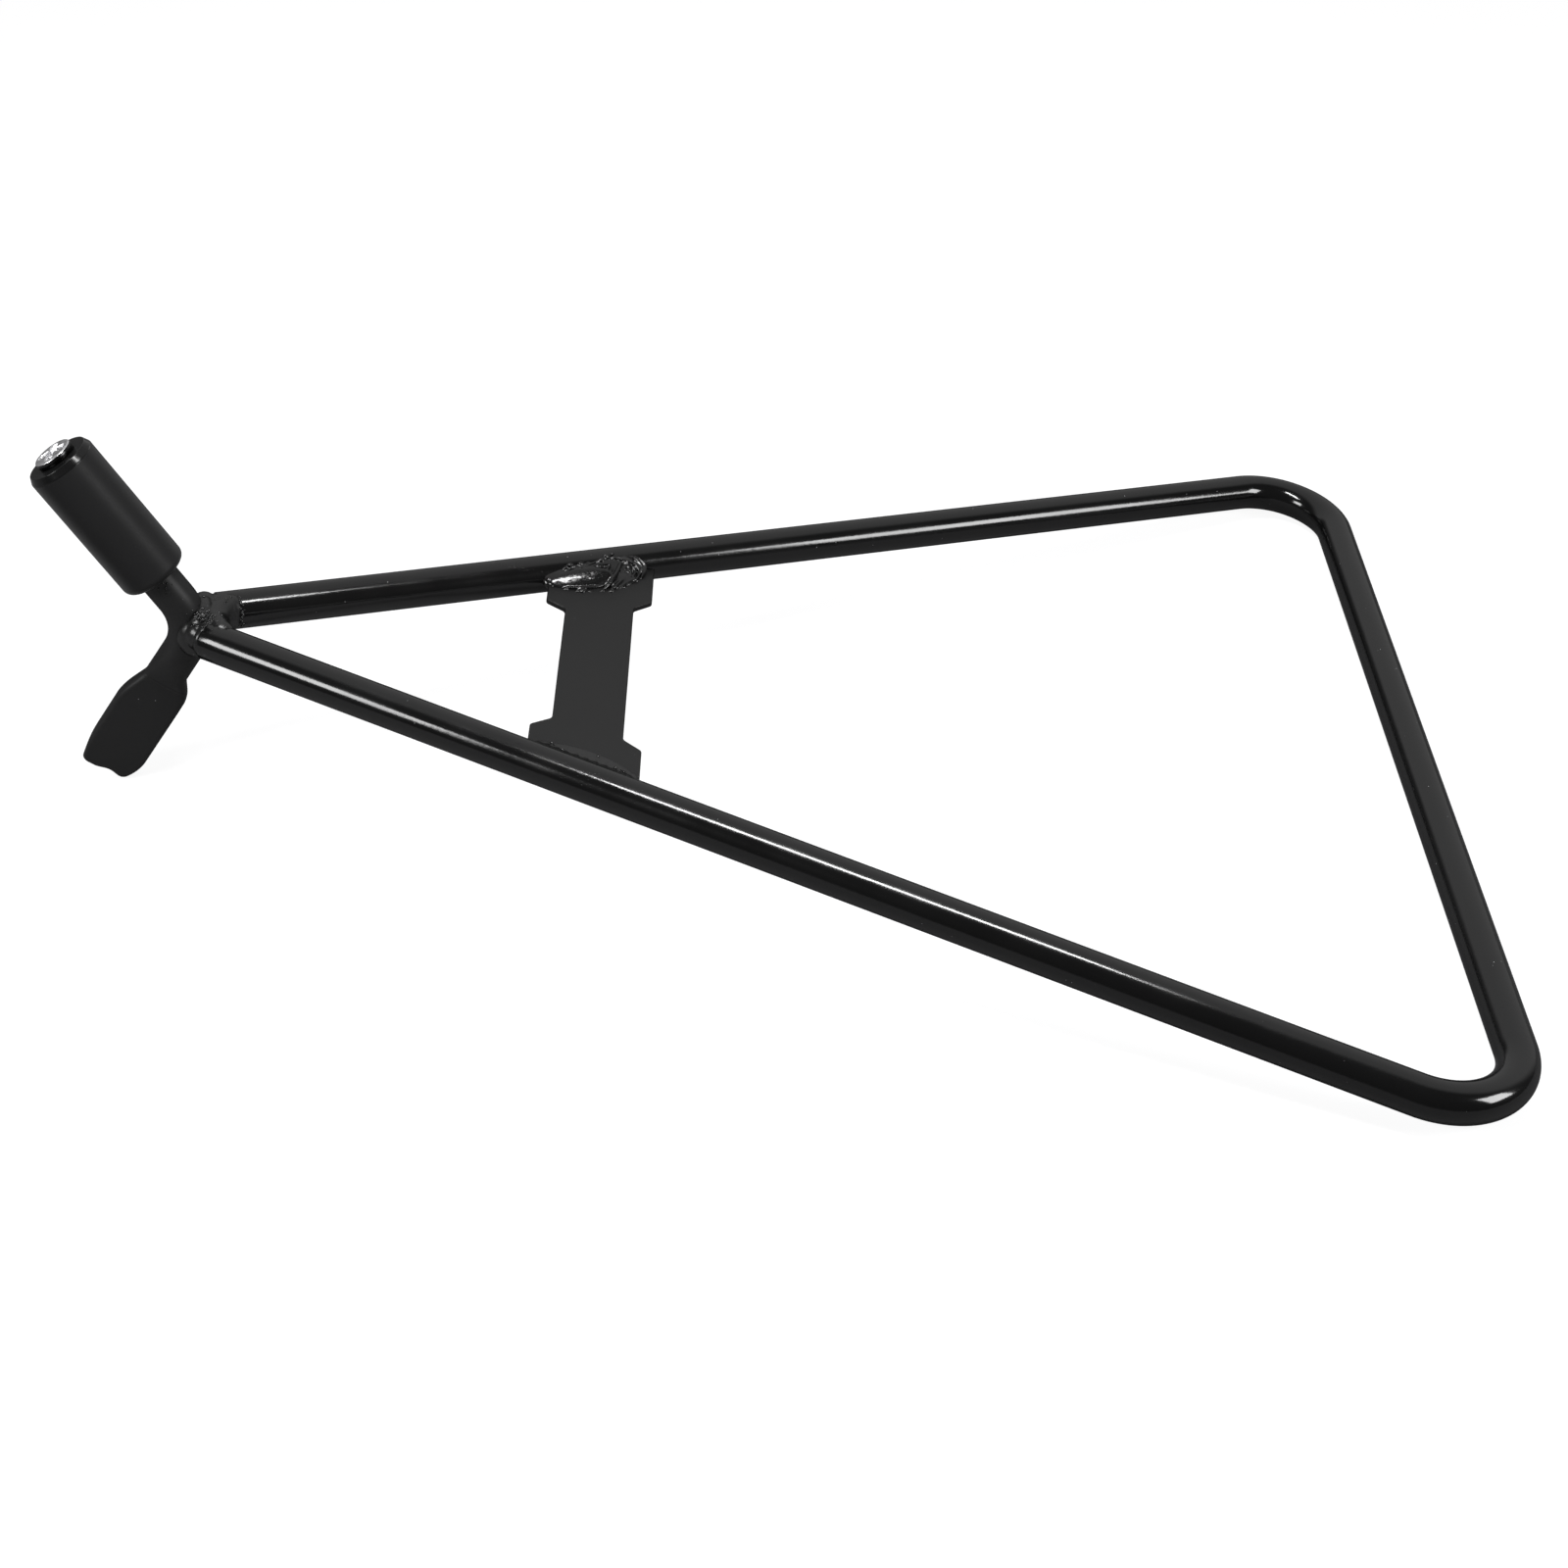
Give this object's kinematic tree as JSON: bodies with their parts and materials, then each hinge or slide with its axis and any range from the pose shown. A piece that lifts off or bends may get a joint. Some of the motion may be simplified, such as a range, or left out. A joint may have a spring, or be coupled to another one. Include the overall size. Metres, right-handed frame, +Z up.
{
  "type": "triangle side stand",
  "caption": "Triangular bent-rod side stand with a flared cross plate, a forged foot and an angled plug sleeve that fits in a hollow wheel axle",
  "frame": {"origin": "centre of the bottom of the object's box, as it lies on the floor on its base bar and on the tip of its foot, plug up", "axes": "+X from the plug end towards the base bar, +Y across the stand from the near leg to the far leg, +Z up"},
  "size_m": [0.4239, 0.3272, 0.1188],
  "materials": {
    "rod_coat": "black semi-gloss powder coat on steel rod, faint orange peel",
    "plate_coat": "black satin powder coat on flat steel sheet",
    "weld_coat": "black gloss powder coat over rough weld metal",
    "sleeve": "black satin moulded plastic",
    "screw": "bright zinc plate with light machining marks"
  },
  "bodies": {
    "stand": {"frame_loop": "rod_coat", "pin_rod": "rod_coat", "cross_plate": "plate_coat", "sleeve_screw": "screw", "weld_apex_near": "weld_coat", "weld_apex_far": "weld_coat", "weld_apex_crotch": "weld_coat", "weld_plate_near": "weld_coat", "weld_plate_far": "weld_coat"},
    "sleeve": {"plug_sleeve": "sleeve"}
  },
  "joints": [
    {"name": "sleeve_spin", "type": "hinge", "parent": "stand", "child": "sleeve", "pos_m": [-0.19012, 0, 0.09412], "axis": [-0.4957, 0, 0.8685], "continuous": true}
  ]
}
